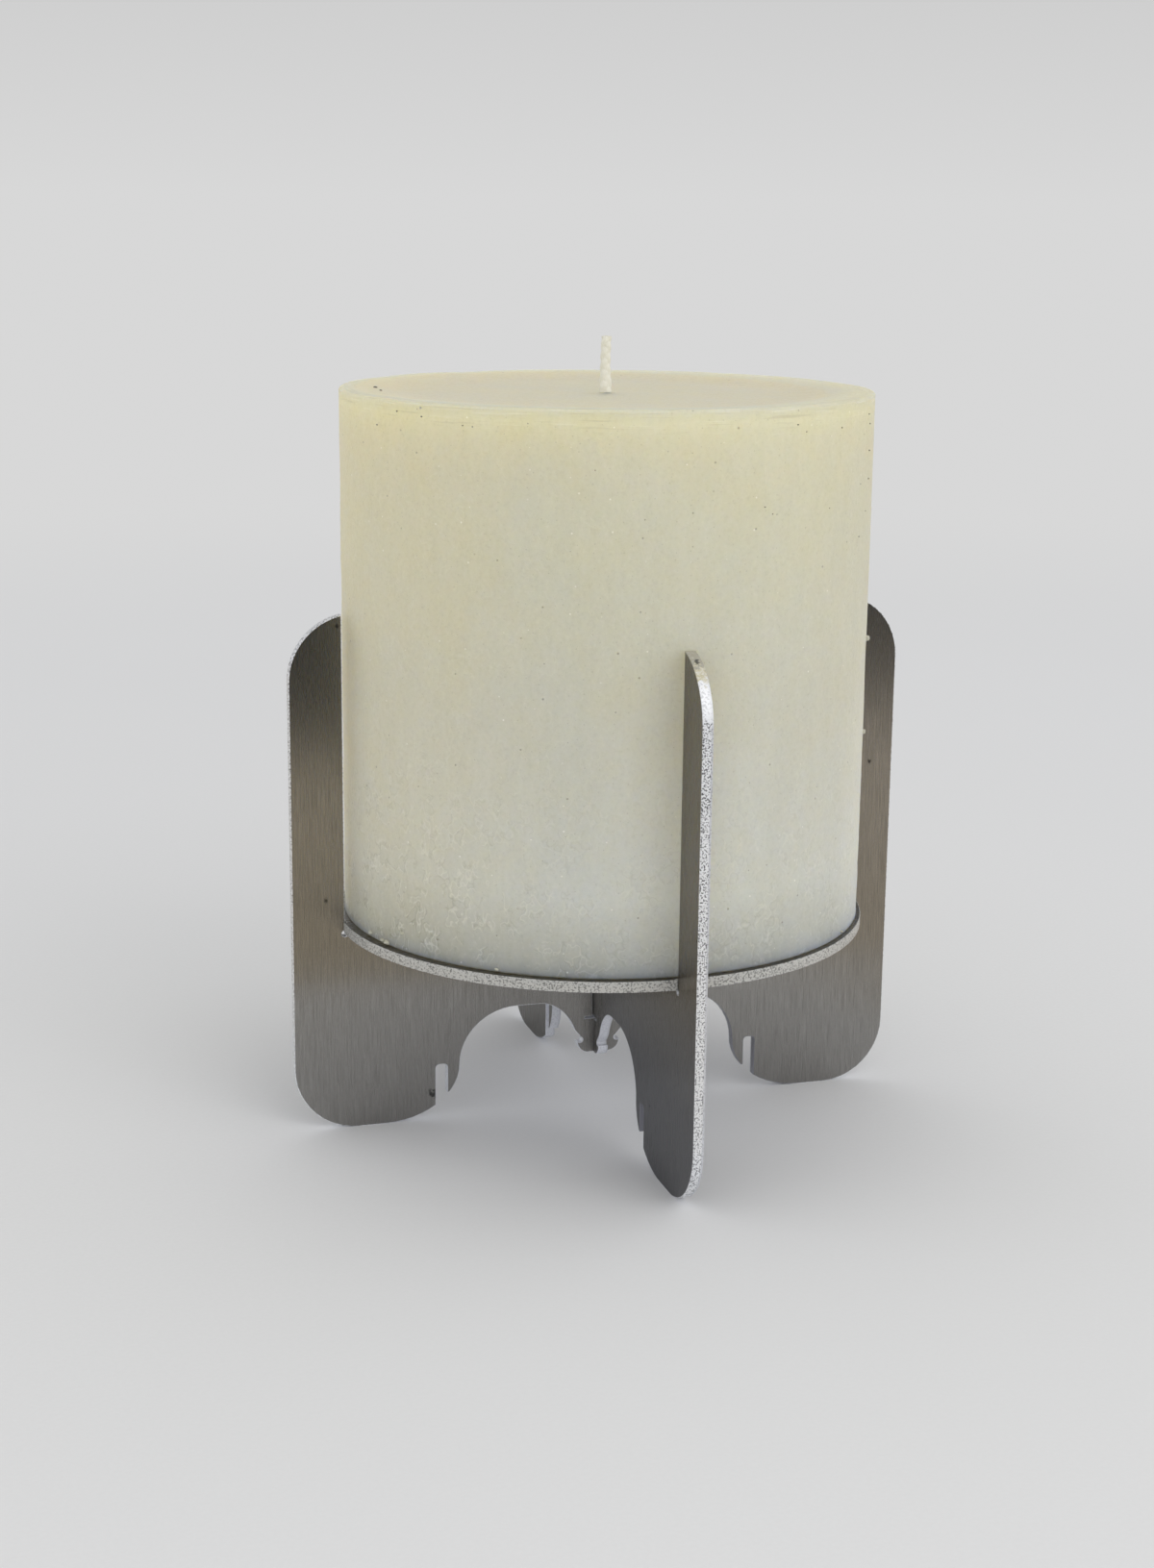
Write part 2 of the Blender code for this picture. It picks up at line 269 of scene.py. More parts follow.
def quads(rows, columns, count=1):
    """Corner numbers of the quads of some grids, row by row; each last column joins the first."""
    row, column = np.meshgrid(np.arange(rows - 1), np.arange(columns), indexing="ij")
    after = (column + 1) % columns
    corners = [
        row * columns + column,
        row * columns + after,
        (row + 1) * columns + after,
        (row + 1) * columns + column,
    ]
    grid = np.stack(corners, axis=-1).reshape(1, -1, 4)
    return (grid + np.arange(count)[:, None, None] * rows * columns).reshape(-1, 4)


def turned(reach, height, columns, axis=(0.0, 0.0)):
    """A section turned about an upright axis, as a grid of (axis + reach (cos t, sin t), height)."""
    around = np.linspace(0, 2 * np.pi, columns, endpoint=False)
    points = np.empty((len(reach), columns, 3))
    points[..., X] = axis[X] + reach * np.cos(around)
    points[..., Y] = axis[Y] + reach * np.sin(around)
    points[..., Z] = height
    return points


def soft_noise(rows, columns, wave_rows, wave_columns, seed):
    """Random bumps of unit spread that close round the grid.

    White noise whose spectrum is damped by exp(-2 (pi w f)^2), with w the
    width of the bumps in grid steps and f the frequency.
    """
    random = np.random.default_rng(seed)
    spectrum = np.fft.rfft2(random.standard_normal((rows, columns)))
    down = wave_rows * np.fft.fftfreq(rows)[:, None]
    along = wave_columns * np.fft.rfftfreq(columns)[None, :]
    spectrum *= np.exp(-2 * np.pi**2 * (down**2 + along**2))
    field = np.fft.irfft2(spectrum, s=(rows, columns))
    return field / field.std()


def add_object(name, points, faces, materials):
    """A smooth mesh object at the origin from arrays, closed where points fall together."""
    mesh = bpy.data.meshes.new(name)
    mesh.from_pydata(points.reshape(-1, 3).tolist(), [], faces)
    grid = bmesh.new()
    grid.from_mesh(mesh)
    bmesh.ops.remove_doubles(grid, verts=grid.verts, dist=WELD)
    bmesh.ops.dissolve_degenerate(grid, edges=grid.edges, dist=WELD / 10)
    grid.to_mesh(mesh)
    grid.free()
    for material in materials:
        mesh.materials.append(material)
    mesh.shade_smooth()
    mesh.set_sharp_from_angle(angle=SMOOTH_ANGLE)
    item = bpy.data.objects.new(name, mesh)
    bpy.context.scene.collection.objects.link(item)
    return item


def add_piece(name, points, faces, body, materials, replaces=()):
    """A visible piece that rides on a CAD body and may replace CAD nodes."""
    piece = add_object(name, points, faces, materials)
    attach(piece, body)
    if replaces:
        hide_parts(*replaces)
    return piece


def cut_outline(node, across):
    """The outline of a flat CAD sheet, as an ordered loop of points in its own plane.

    Of the triangles on the sheet's low side, an edge whose reverse is in no
    other triangle lies on the outline and leads from one point to the next.
    Doubling the stride of that step gives the whole loop in order.
    """
    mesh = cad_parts[node].data
    mesh.calc_loop_triangles()
    points = np.empty(len(mesh.vertices) * 3)
    mesh.vertices.foreach_get("co", points)
    corners = np.empty(len(mesh.loop_triangles) * 3, dtype=np.int64)
    mesh.loop_triangles.foreach_get("vertices", corners)
    points, welded = np.unique(np.round(points.reshape(-1, 3) / WELD), axis=0, return_inverse=True)
    triangles = welded.ravel()[corners].reshape(-1, 3)
    low_side = (points[triangles, across] == points[:, across].min()).all(axis=1)
    start = triangles[low_side]
    end = np.roll(start, -1, axis=1)
    forward = start.ravel() * len(points) + end.ravel()
    backward = end.ravel() * len(points) + start.ravel()
    rim = ~np.isin(forward, backward)
    step = np.zeros(len(points), dtype=np.int64)
    step[start.ravel()[rim]] = end.ravel()[rim]
    order = start.ravel()[rim][:1]
    while len(order) < rim.sum():
        order = np.concatenate([order, step[order]])
        step = step[step]
    return points[order[: rim.sum()]][:, in_plane(across)] * WELD


def in_plane(across):
    """The two axes of a sheet's plane, given the axis across it."""
    return [axis for axis in (X, Y, Z) if axis != across]


def signed_area(loop):
    """Twice the area inside a loop, positive where it runs anticlockwise."""
    after = np.roll(loop, -1, axis=0)
    return float((loop[:, 0] * after[:, 1] - loop[:, 1] * after[:, 0]).sum())


def outward_mitres(loop):
    """At each point of a loop, the step that moves both its edges out by one: (m + n) / (1 + m.n)."""
    ahead = np.roll(loop, -1, axis=0) - loop
    ahead /= np.linalg.norm(ahead, axis=1, keepdims=True)
    normal = np.stack([ahead[:, 1], -ahead[:, 0]], axis=1) * np.sign(signed_area(loop))
    before = np.roll(normal, 1, axis=0)
    return (normal + before) / (1 + (normal * before).sum(axis=1, keepdims=True))


def edge_profile(thickness, radius):
    """(inset, level) over a sheet's edge: a quarter round, the cut wall and a quarter round."""
    turn = np.linspace(0, np.pi / 2, EDGE_STEPS + 1)
    inset = radius * (1 - np.sin(turn))
    level = radius * (1 - np.cos(turn))
    low = np.stack([inset, level], axis=1)
    high = np.stack([inset, thickness - level], axis=1)[::-1]
    return np.concatenate([low, high])


def add_sheet(name, node, across, body, materials, edge_round):
    """A sheet piece: its edge profile carried along its outline, closed by its two faces.

    Its first material is that of the faces and its second that of the edge.
    """
    low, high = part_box(node)
    loop = cut_outline(node, across)
    profile = edge_profile(high[across] - low[across], edge_round)
    points = np.empty((len(profile), len(loop), 3))
    points[:, :, in_plane(across)] = loop - profile[:, :1, None] * outward_mitres(loop)
    points[:, :, across] = low[across] + profile[:, 1:]
    band = quads(len(profile), len(loop))
    first = np.arange(len(loop))
    last = first + (len(profile) - 1) * len(loop)
    if (across == Y) != (signed_area(loop) < 0):
        band, first, last = band[:, ::-1], first[::-1], last[::-1]
    faces = band.tolist() + [first[::-1].tolist(), last.tolist()]
    piece = add_piece(name, points, faces, body, materials, [node])
    on_edge = np.arange(len(piece.data.polygons)) < len(band)
    piece.data.polygons.foreach_set("material_index", on_edge.astype(np.int32))
    piece.data.polygons.foreach_set("use_smooth", on_edge)
    corners = np.empty(len(piece.data.loops), dtype=np.int32)
    piece.data.loops.foreach_get("vertex_index", corners)
    plan = points.reshape(-1, 3)[corners][:, in_plane(across)]
    piece.data.uv_layers.new(name=SHEET_MAP).data.foreach_set("uv", plan.ravel())


def feed(socket, value):
    """Set a node's socket to a value, or link it to another node's socket."""
    if isinstance(value, bpy.types.NodeSocket):
        socket.id_data.links.new(value, socket)
    else:
        socket.default_value = value


def set_sockets(node, **sockets):
    """Feed a node's sockets by name, with an underscore for each space."""
    for name, value in sockets.items():
        feed(node.inputs[name.replace("_", " ")], value)


def add_node(tree, kind, options=None, **sockets):
    """A shader node of a tree, with its options and sockets set."""
    node = tree.nodes.new("ShaderNode" + kind)
    for option, value in (options or {}).items():
        setattr(node, option, value)
    set_sockets(node, **sockets)
    return node


def mix(weight, first, second, blend="MIX"):
    """The colour between two colours, each a value or another node's socket."""
    node = add_node(weight.id_data, "Mix", {"data_type": "RGBA", "blend_type": blend})
    feed(node.inputs[0], weight)
    for socket, value in zip(node.inputs[6:8], (first, second)):
        feed(socket, value if isinstance(value, bpy.types.NodeSocket) else (*value, 1.0))
    return node.outputs[2]


def tint(weight, face, tone):
    """A colour multiplied by a tint where the weight is one."""
    return mix(weight, face, tone, "MULTIPLY")


def noise(vector, size, detail=2.0, roughness=0.5, stretch=(1, 1, 1)):
    """Noise from 0 to 1 with features of that size, stretched along the axes."""
    tree = vector.id_data
    scale = [1 / (size * longer) for longer in stretch]
    scaled = add_node(tree, "Mapping", Vector=vector, Scale=scale).outputs["Vector"]
    texture = add_node(tree, "TexNoise", Vector=scaled, Scale=1.0, Detail=detail)
    set_sockets(texture, Roughness=roughness)
    return texture.outputs["Fac"]


def ramp(value, low, high, to_low=0.0, to_high=1.0, kind="LINEAR"):
    """A value carried from one range to another and held at its ends."""
    node = add_node(value.id_data, "MapRange", {"interpolation_type": kind}, Value=value)
    set_sockets(node, From_Min=low, From_Max=high, To_Min=to_low, To_Max=to_high)
    return node.outputs["Result"]


def operate(kind, operation, first, second):
    """The outputs of a node that works on two inputs."""
    node = add_node(first.id_data, kind, {"operation": operation})
    feed(node.inputs[0], first)
    feed(node.inputs[1], second)
    return node.outputs


def calculate(operation, first, second=0.0):
    """One sum, product or other operation on two values."""
    return operate("Math", operation, first, second)["Value"]


def product(first, *others):
    """The product of several values."""
    for other in others:
        first = calculate("MULTIPLY", first, other)
    return first


def vector_math(operation, first, second=(0.0, 0.0, 0.0)):
    """What an operation on two vectors gives: a vector for a difference, or else a value."""
    kind = "Vector" if operation == "SUBTRACT" else "Value"
    return operate("VectorMath", operation, first, second)[kind]


def split(vector):
    """The x, y and z of a vector."""
    return tuple(add_node(vector.id_data, "SeparateXYZ", Vector=vector).outputs)


def flat_place(x, y):
    """A vector of two values, with nothing as its third."""
    return add_node(x.id_data, "CombineXYZ", X=x, Y=y).outputs["Vector"]


def bump(height, distance, strength):
    """The normal of a surface with bumps from a height between 0 and 1."""
    node = add_node(height.id_data, "Bump", Height=height)
    set_sockets(node, Distance=distance, Strength=strength)
    return node.outputs["Normal"]


def pits(place, size, radius, chosen_share):
    """Scattered round dots on a flat place: one in each chosen cell of that size."""
    options = {"feature": "F1", "voronoi_dimensions": "2D"}
    tree = place.id_data
    cell = add_node(tree, "TexVoronoi", options, Vector=place, Scale=1 / size, Randomness=1.0)
    draw = add_node(tree, "SeparateColor", Color=cell.outputs["Color"]).outputs
    chosen = ramp(draw["Red"], 1 - chosen_share, 1.01 - chosen_share)
    width = ramp(draw["Green"], 0.0, 1.0, 0.4 * radius / size, radius / size)
    dot = ramp(calculate("DIVIDE", cell.outputs["Distance"], width), 1.0, 0.4)
    return product(dot, chosen)


def stained(face, tone, place, position, stains):
    """A colour with ragged spots of another tone, each at (column, row, radius) of a flat place."""
    for column, row, radius in stains:
        apart = vector_math("DISTANCE", place, (column, row, 0.0))
        broken = ramp(noise(position, 0.0006), *MOST, -0.6 * radius, 0.6 * radius)
        ragged = calculate("ADD", apart, broken)
        face = mix(ramp(ragged, 1.3 * radius, 0.7 * radius, 0.0, 0.85), face, tone)
    return face


def new_material(name):
    """A node material with its Principled shader and its Object coordinates."""
    material = bpy.data.materials.new(name)
    material.use_nodes = True
    nodes = material.node_tree.nodes
    return material, nodes["Principled BSDF"], nodes.new("ShaderNodeTexCoord").outputs["Object"]


def brushed_face(name, settings, stretch, paint_foot_shade=False, stains=()):
    """Sheet brushed along one direction: fine lines over broader bands.

    Its front foot may carry painted shade, darker low down where it reflects the shaded floor. Its
    specks are scattered, or sit at the given places of its plan.
    """
    material, shader, position = new_material(name)
    fine = noise(position, settings.line_width, 2.0, 0.6, stretch)
    band = noise(position, settings.band_width, 3.0, 0.6, stretch)
    lines = calculate("ADD", product(fine, 0.9), product(band, 0.1))
    face = mix(ramp(lines, 0.32, 0.68), settings.face_dark, settings.face_light)
    face = mix(ramp(noise(position, 0.02), *MOST, 0.0, 0.12), face, settings.face_dark)
    on_map = {"uv_map": SHEET_MAP}
    plan = add_node(position.id_data, "UVMap", on_map).outputs["UV"]
    if stains:
        face = stained(face, settings.face_speck, plan, position, stains)
    else:
        face = mix(pits(plan, 0.018, 0.00034, 0.5), face, settings.face_speck)
    # Painted shade on the front foot, low down, where it reflects the shaded floor.
    if paint_foot_shade:
        _, y, z = split(position)
        painted_foot_shade = product(ramp(z, 0.045, 0.018), ramp(y, 0.0, -0.01))
        face = tint(painted_foot_shade, face, settings.tint_painted_foot_shade)
    across = add_node(position.id_data, "Tangent", {"direction_type": "UV_MAP", **on_map})
    set_sockets(
        shader,
        Base_Color=face,
        Roughness=ramp(lines, *MOST, 0.32, 0.22),
        Metallic=1.0,
        Specular_Tint=(0.54, 0.54, 0.54, 1.0),
        Anisotropic=1.0,
        Tangent=across.outputs["Tangent"],
        Normal=bump(lines, 0.00001, 0.12),
    )
    return material


def cut_edge(name, settings, dark, bright, across=None, front_tip=False):
    """Cut sheet: bright broken grains with dark pits between them, smoother near the middle.

    On a plate, with an axis across it, painted light makes the grains paler and evener low down,
    painted shade darkens the slots of two feet, and the last part of the cut is sheared smooth. The
    front tip may be worn and carry a painted highlight.
    """
    material, shader, position = new_material(name)
    x, y, z = place = split(position)
    grain = noise(position, settings.grain, 1.0)
    drift = noise(position, settings.grain * 12)
    shade = calculate("ADD", grain, ramp(drift, *MOST, -0.02, 0.02))
    face = mix(ramp(shade, 0.38, 0.50), dark, bright)
    face = mix(ramp(noise(position, 0.0011), 0.70, 0.74, 0.0, 0.6), face, settings.edge_hole)
    if across is not None:
        # Painted light: the edge is paler and evener low down, where it would be in shade.
        face = mix(ramp(z, 0.065, 0.025, 0.0, 0.35), face, settings.edge_painted_light)
    reach = vector_math("DISTANCE", flat_place(x, y))
    face = mix(ramp(reach, 0.047, 0.043, 0.0, 0.8), face, settings.edge_inner)
    if across is not None:
        # Painted shade on the walls of the slots of two feet.
        near_side = ramp(calculate("SUBTRACT", x, y), 0.024, 0.027)
        painted_slot_shade = product(near_side, ramp(reach, 0.043, 0.041), ramp(z, 0.0235, 0.0215))
        face = mix(painted_slot_shade, face, settings.edge_painted_slot_shade)
        level = calculate("ADD", place[across], ramp(grain, *CORE, -0.0001, 0.0001))
        sheared = ramp(level, settings.shear_from, settings.shear_from + 0.0001, 0.0, 0.75)
        face = mix(sheared, face, settings.edge_sheared)
    if front_tip:
        face = front_tip_wear_and_highlight(face, settings, position, grain)
    set_sockets(
        shader,
        Base_Color=face,
        Roughness=ramp(grain, *CORE, 0.52, 0.32),
        Metallic=0.35,
        Normal=bump(grain, 0.00008, 0.8),
    )
    return material


def front_tip_wear_and_highlight(face, settings, position, grain):
    """The front arm's edge: a painted highlight, then a film of wax and a bare, stained end above it.
    """
    x, y, z = split(position)
    front = ramp(y, -0.040, -0.044)
    broken = ramp(noise(position, 0.0009, 3.0, 0.6), 0.35, 0.60, -0.0010, 0.0010)
    level = calculate("ADD", z, broken)
    film_from = ARM_TIP - settings.smear_run
    painted_highlight_from = film_from - settings.painted_highlight_run
    bare_from = ARM_TIP - settings.worn_run
    # Painted highlight on the part of the edge just below the film of wax.
    painted_highlight = product(ramp(level, painted_highlight_from, painted_highlight_from + 0.0008, 0.0, 0.75), front)
    face = mix(painted_highlight, face, settings.edge_grain_and_highlight)
    film = product(ramp(level, film_from, film_from + 0.0012, 0.0, 0.65), front)
    face = mix(product(film, ramp(grain, 0.35, 0.6, 1.4, 0.8)), face, settings.smear)
    bare = product(ramp(level, bare_from, bare_from + 0.0010, 0.0, 0.65), front)
    face = mix(bare, face, settings.worn_tip)
    return stained(face, settings.face_speck, flat_place(x, z), position, TIP_STAINS)


def candle_places(position):
    """For a point: reach from the axis and the dish's middle, height, side, turn and unrolled place.

    The side is -1 to 1 along WARM_SIDE. The turn is the angle from the front,
    with its seam at the back. The unrolled place is the way round the candle
    and the height less the reach.
    """
    x, y, height = split(vector_math("SUBTRACT", position, (*CANDLE_AXIS.tolist(), 0.0)))
    flat = flat_place(x, y)
    reach = vector_math("DISTANCE", flat)
    dish_reach = vector_math("DISTANCE", flat, DISH_SHIFT)
    side = vector_math("DOT_PRODUCT", flat, [part / CANDLE_RADIUS for part in WARM_SIDE])
    turn = calculate("ARCTAN2", x, product(y, -1.0))
    unrolled = flat_place(product(turn, CANDLE_RADIUS), calculate("SUBTRACT", height, reach))
    return reach, dish_reach, height, side, turn, unrolled


def ivory_wax(settings):
    """Wax that is yellower at the top, frosted at the foot, with a worn rim and pits, and with painted
    light and shade: yellow light on one side, shade at the foot and on the upper part of the side
    across, and light beside the arms where they cast shade.
    """
    material, shader, position = new_material("ivory wax")
    reach, dish_reach, height, side, turn, unrolled = candle_places(position)
    low, high = float(CANDLE_LOW[Z]), float(CANDLE_HIGH[Z])
    middle = low + 0.45 * (high - low)
    lower = ramp(height, low, middle)
    from_side = calculate("SUBTRACT", reach, CANDLE_RADIUS)
    from_top = calculate("SUBTRACT", height, high)
    up_top = ramp(from_top, -0.0030, -0.0022)
    inside = product(ramp(from_side, -0.0002, -0.0010), up_top)
    body = mix(lower, settings.wax_foot, settings.wax_middle)
    body = mix(ramp(height, middle, high), body, settings.wax_top)
    cloud = noise(position, 0.022, 3.0, 0.55, (1, 1, 1.6))
    body = mix(ramp(cloud, *CORE, 0.0, 0.22), body, settings.wax_foot)

    # Painted shade: the foot is darker, less so on the far side, and the shade reaches higher on the
    # side lit yellower. Painted light and shade on the sides and beside the arms follow.
    painted_shade = product(ramp(height, low + settings.painted_shade_run, low), ramp(side, -0.95, -0.5, 0.6, 1.0))
    body = mix(painted_shade, body, settings.wax_painted_shade)
    creeping_painted_shade = ramp(height, low + 2 * settings.painted_shade_run, low, 0.0, 0.30)
    body = mix(product(creeping_painted_shade, ramp(side, 0.2, 0.8)), body, settings.wax_painted_shade)
    # Painted light: one side is lit yellower and a little brighter, less so on the top.
    painted_warm_light = product(ramp(side, 0.15, 0.95), ramp(inside, 0.0, 1.0, 1.0, 0.2))
    body = tint(painted_warm_light, body, settings.tint_painted_warm_light)
    # Painted shade on the upper part of the side across from the yellower side.
    body = tint(product(ramp(side, -0.60, -1.0), lower), body, settings.tint_painted_side_shade)
    # Painted light beside each arm, and on the side across, below the arm tips, that lifts the shade
    # the arms cast.
    behind_arm = ramp(calculate("COSINE", product(turn, 4.0)), 0.10, 0.98)
    below_tips = ramp(height, ARM_TIP + 0.004, ARM_TIP - 0.020)
    painted_light_by_arms = product(calculate("MAXIMUM", ramp(side, -0.86, -1.0), behind_arm), below_tips)
    body = tint(painted_light_by_arms, body, settings.tint_painted_light_by_arms)
    mottle = noise(position, 0.0100, 4.0, 0.65)
    body = tint(ramp(mottle, 0.50, 0.70), body, settings.tint_yellowed)
    body = tint(ramp(mottle, 0.50, 0.30), body, settings.tint_bloom)
    streak = noise(position, 0.0030, 3.0, 0.6, (1, 1, 3))
    body = mix(ramp(streak, 0.40, 0.70, 0.0, 0.08), body, settings.frost)
    grain = noise(position, 0.0008, 3.0, 0.7)
    body = tint(ramp(grain, 0.48, 0.30, 0.0, 0.26), body, settings.tint_grain)
    body = mix(ramp(grain, 0.56, 0.70, 0.0, 0.12), body, settings.frost)

    # Two contours of one noise, broken into patches, are the frosted flakes and the gouges.
    near_foot = ramp(lower, 0.95, 0.10)
    patch = product(
        ramp(noise(position, 0.0090), 0.34, 0.50), ramp(noise(position, 0.0034, 1.0), 0.40, 0.50)
    )
    marks = noise(position, 0.0018, 1.5, 0.5, (1, 1, 1.3))
    pale_mark = product(ramp(marks, 0.515, 0.530), ramp(marks, 0.565, 0.550), patch)
    dark_mark = product(ramp(marks, 0.480, 0.465), ramp(marks, 0.430, 0.445), patch)
    rubbed = ramp(side, 0.1, 0.8, 1.0, 2.0)
    frost = product(pale_mark, ramp(near_foot, 0.0, 1.0, 0.05, 0.21), rubbed)
    body = mix(frost, body, settings.frost)
    gouge = product(dark_mark, ramp(near_foot, 0.0, 1.0, 0.05, 0.40), rubbed)
    body = tint(gouge, body, settings.tint_grain)

    # The top, its dish and its rim, with scrapes that run round near the rim.
    body = tint(inside, body, settings.tint_top)
    dish = product(ramp(dish_reach, CANDLE_RADIUS - 0.0050, CANDLE_RADIUS - 0.0066), up_top)
    body = tint(dish, body, settings.tint_dish)
    rim = product(ramp(from_side, -0.0034, -0.0012), ramp(from_top, -0.0024, -0.0006))
    body = tint(rim, body, settings.tint_rim)
    near_rim = product(ramp(from_side, -0.0055, -0.0020), ramp(from_top, -0.0050, -0.0012))
    scrape = noise(unrolled, 0.0005, 2.0, 0.55, (24, 1, 1))
    pale_line = product(ramp(scrape, 0.60, 0.68, 0.0, 0.25), near_rim)
    dark_line = product(ramp(scrape, 0.40, 0.33, 0.0, 0.22), near_rim)
    body = mix(pale_line, body, settings.frost)
    body = mix(dark_line, body, settings.speck)

    large = pits(unrolled, 0.0042, 0.00028, 0.15)
    small = pits(unrolled, 0.0013, 0.00016, 0.35)
    dot = calculate("MAXIMUM", large, product(small, 0.45))
    body = mix(product(dot, 0.6), body, settings.speck)
    body = mix(product(pits(unrolled, 0.0065, 0.00024, 0.40), 0.6), body, settings.chip)
    relief = calculate("ADD", product(grain, 0.3), calculate("ADD", frost, pale_line))
    for hollow in (dot, dark_line, gouge):
        relief = calculate("SUBTRACT", relief, hollow)
    set_sockets(
        shader,
        Base_Color=body,
        Roughness=ramp(grain, *MOST, 0.56, 0.42),
        Subsurface_Weight=0.9,
        Subsurface_Radius=(1.0, 0.80, 0.45),
        Subsurface_Scale=0.022,
        IOR=1.44,
        Normal=bump(relief, 0.00012, 0.8),
    )
    return material


def crumb_wax(name, dark, pale):
    """Plain wax or soot for the small crumbs."""
    material, shader, position = new_material(name)
    face = mix(ramp(noise(position, 0.0003), *MOST), dark, pale)
    set_sockets(shader, Base_Color=face, Roughness=0.5)
    return material


def wick_cotton(settings):
    """Cotton strands with wax in their grooves."""
    material, shader, position = new_material("wick cotton")
    fibre = noise(position, 0.00016, 3.0, 0.6, (1, 1, 8))
    face = mix(ramp(fibre, *CORE), settings.waxed, settings.cotton)
    set_sockets(shader, Base_Color=face, Roughness=0.8, Specular_IOR_Level=0.2)
    set_sockets(shader, Normal=bump(fibre, 0.00003, 0.4))
    return material


def paper_floor(settings):
    """Pale seamless paper with a trace of tooth, which fades into the backdrop far away."""
    material, shader, position = new_material("seamless paper")
    darker = tuple(0.97 * channel for channel in settings.floor)
    face = mix(ramp(noise(position, 0.0008), *CORE, 0.0, 0.6), settings.floor, darker)
    face = mix(ramp(noise(position, 0.25), *MOST, 0.0, 0.5), face, darker)
    set_sockets(shader, Base_Color=face, Roughness=0.9, Specular_IOR_Level=0.0)
    tree = position.id_data
    far = ramp(vector_math("DISTANCE", position), *FADE, kind="SMOOTHSTEP")
    far = product(far, seen_share(tree))
    glow = add_node(tree, "Emission", Color=(*settings.backdrop, 1.0), Strength=1.0)
    both = add_node(tree, "MixShader", Fac=far)
    feed(both.inputs[1], shader.outputs["BSDF"])
    feed(both.inputs[2], glow.outputs["Emission"])
    set_sockets(tree.nodes["Material Output"], Surface=both.outputs["Shader"])
    return material


def seen_share(tree):
    """One for the rays that see the background: those of the camera, reflections and clear pieces."""
    path = tree.nodes.new("ShaderNodeLightPath").outputs
    seen = calculate("MAXIMUM", path["Is Camera Ray"], path["Is Glossy Ray"])
    return calculate("MAXIMUM", seen, path["Is Transmission Ray"])


def wax_section(settings):
    """(radius, height) round the candle's section: dish, lip, side, foot and back up the wick's bore.

    The dish falls as half a cosine wave, the wax climbs the wick as an
    exponential, and the lip and the foot are quarter circles.
    """
    top, bottom = CANDLE_HIGH[Z], DISC_TOP + settings.foot_gap
    hole = settings.bore
    edge = CANDLE_RADIUS - settings.lip_width
    dish = hole + (edge - hole) * np.linspace(0, 1, 48) ** 1.6
    fall = np.clip((edge - dish) / settings.dish_slope, 0, 1)
    level = top - settings.dish_depth * (1 - np.cos(np.pi * fall)) / 2
    level += settings.meniscus * np.exp(-(dish - hole) / (2 * settings.meniscus))
    turn = np.linspace(0, np.pi / 2, 7)
    lip = CANDLE_RADIUS - settings.lip_round
    foot = CANDLE_RADIUS - settings.foot_round
    flat_lip = np.linspace(edge, lip, 6)[1:-1]
    side = np.linspace(top - settings.lip_round, bottom + settings.foot_round, 132)[1:-1]
    underside = np.linspace(foot, hole, 10)[1:]
    parts = [
        (dish, level),
        (flat_lip, np.full_like(flat_lip, top)),
        (lip + settings.lip_round * np.sin(turn), top - settings.lip_round * (1 - np.cos(turn))),
        (np.full_like(side, CANDLE_RADIUS), side),
        (foot + settings.foot_round * np.cos(turn), bottom + settings.foot_round * (1 - np.sin(turn))),
        (underside, np.full_like(underside, bottom)),
        (dish[:1], level[:1]),
    ]
    return np.concatenate([np.stack(part) for part in parts], axis=1)


def add_candle(settings, material):
    """The candle as its section turned about its axis, with soft dents and flakes pressed inwards."""
    radius, height = wax_section(settings)[:, :, None]
    grid = (len(radius), CANDLE_COLUMNS)
    top = CANDLE_HIGH[Z]
    down = (top - height) / (top - CANDLE_LOW[Z])
    outside = radius > CANDLE_RADIUS - WELD
    dents = np.abs(soft_noise(*grid, 5.0, 6.0, DENT_SEED)) * settings.dent
    flakes = np.clip(soft_noise(*grid, 1.2, 1.2, FLAKE_SEED), 0, 2) * settings.flake
    press = (dents + flakes * np.clip(down * 3 - 1.8, 0, 1)) * outside
    at_rim = np.exp(-(((CANDLE_RADIUS - radius) + (top - height)) / (2 * settings.lip_width)) ** 2)
    worn = np.abs(soft_noise(1, CANDLE_COLUMNS, 0.0, 5.0, WEAR_SEED)) * settings.wear
    points = turned(radius - press, height - at_rim * worn, CANDLE_COLUMNS, CANDLE_AXIS)
    faces = quads(*grid)[:, ::-1].tolist()
    add_piece("pillar_candle", points, faces, "candle", [material], ["candle"])


def add_crumbs(name, table, sunk, material):
    """Crumbs on the candle: flattened spheres whose radius is broken by noise.

    Each row of the table is the degrees round the axis, the reach from the
    axis, the height above the foot and the radius; sunk is the share of the
    radius by which the middle lies inside the wax.
    """
    degrees, middle, level, size = np.array(table).T[:, :, None, None]
    rows, columns, count = CRUMB_ROWS, CRUMB_COLUMNS, len(table)
    tilt = np.linspace(0, np.pi, rows)[:, None]
    turn = np.linspace(0, 2 * np.pi, columns, endpoint=False)
    broken = soft_noise(count * rows, columns, 1.2, 1.4, CRUMB_SEED).reshape(count, rows, columns)
    reach = size * (1 + 0.22 * broken * np.sin(tilt))
    angle = np.radians(degrees)
    out = middle - sunk * size
    points = np.empty((count, rows, columns, 3))
    points[..., X] = CANDLE_AXIS[X] + out * np.cos(angle) + reach * np.sin(tilt) * np.cos(turn)
    points[..., Y] = CANDLE_AXIS[Y] + out * np.sin(angle) + reach * np.sin(tilt) * np.sin(turn)
    points[..., Z] = CANDLE_LOW[Z] + level + 0.7 * reach * np.cos(tilt)
    faces = quads(rows, columns, count)[:, ::-1].tolist()
    add_piece(name, points, faces, "candle", [material])


